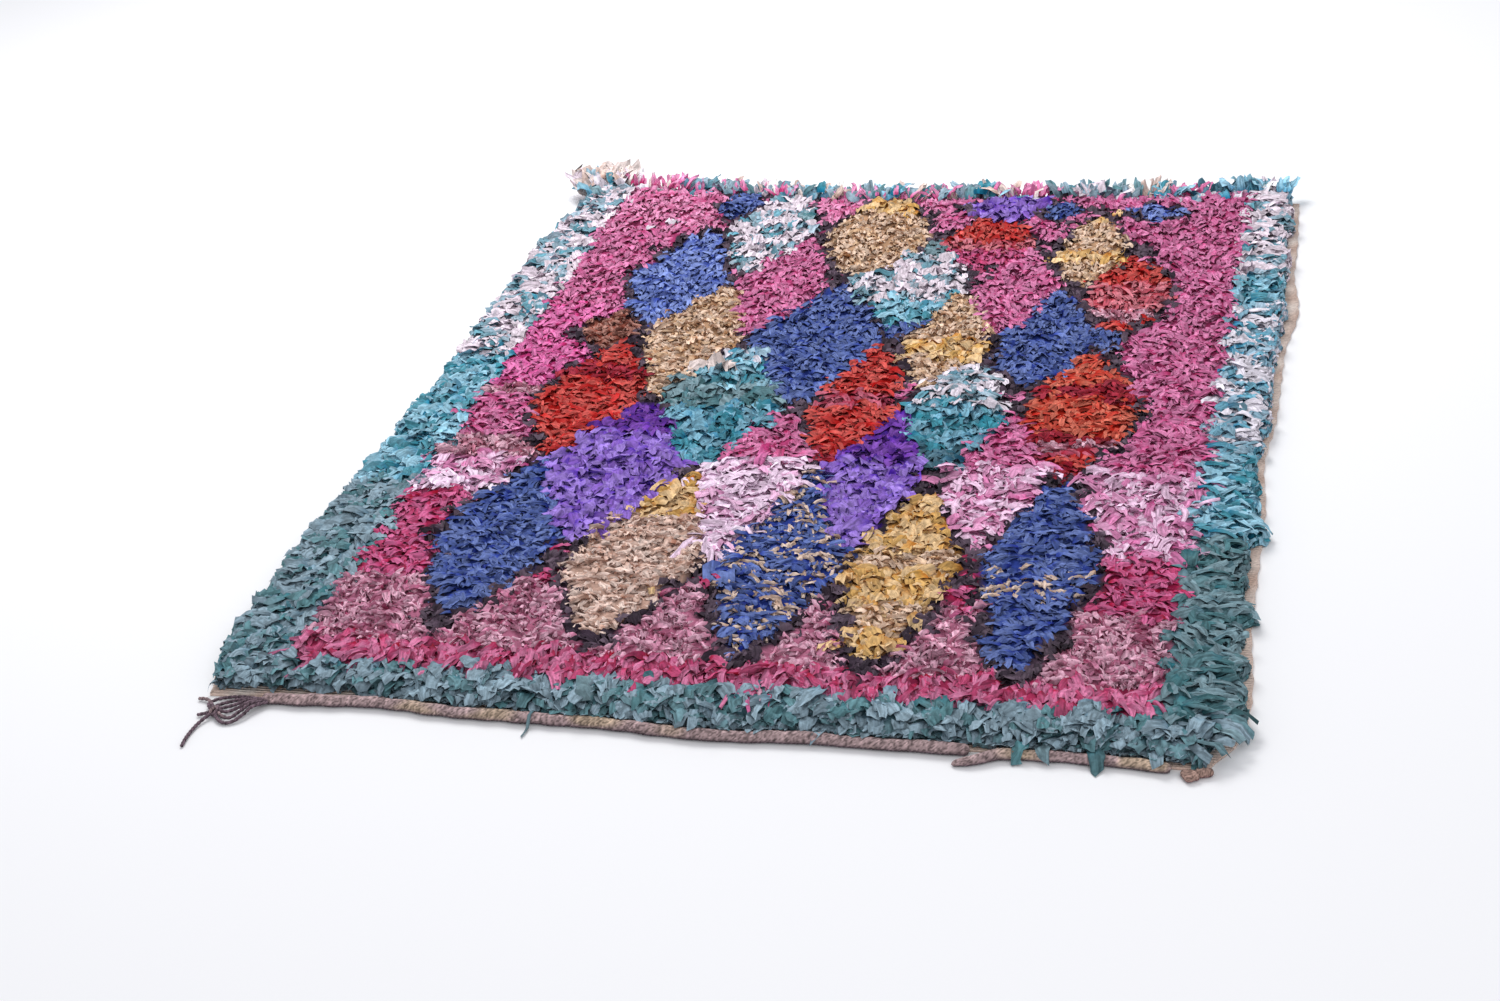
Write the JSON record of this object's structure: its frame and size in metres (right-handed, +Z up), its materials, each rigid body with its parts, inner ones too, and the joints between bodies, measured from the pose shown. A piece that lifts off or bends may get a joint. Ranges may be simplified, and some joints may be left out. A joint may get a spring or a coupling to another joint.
{
  "type": "boucherouite rug",
  "caption": "Rectangular shag rug of coloured cloth strips knotted into a woven ground, in rows of tall lozenges, with a plied cord, a corner knot and a corner stub at its front end.",
  "frame": {"origin": "near the middle of the ground's flat underside, on the floor", "axes": "+Y along the rug's length, away from its corded front end; +X to the right as seen from that end; +Z up, out of the pile"},
  "size_m": [1.3115, 1.7392, 0.0415],
  "materials": {
    "ground_weave": "matt wool weave, beige with some mauve",
    "rag_pile": "matt cut cloth strips in many colours, pink and teal the most",
    "plied_cord": "matt plied wool, grey and mauve-beige twisted together",
    "loose_yarn": "matt loose wool yarn, dark grey"
  },
  "bodies": {
    "root": {"ground": "ground_weave", "pile": "rag_pile", "end_cord": "plied_cord", "second_cord": "plied_cord", "corner_knot": "loose_yarn", "corner_stub": "plied_cord"}
  },
  "joints": []
}
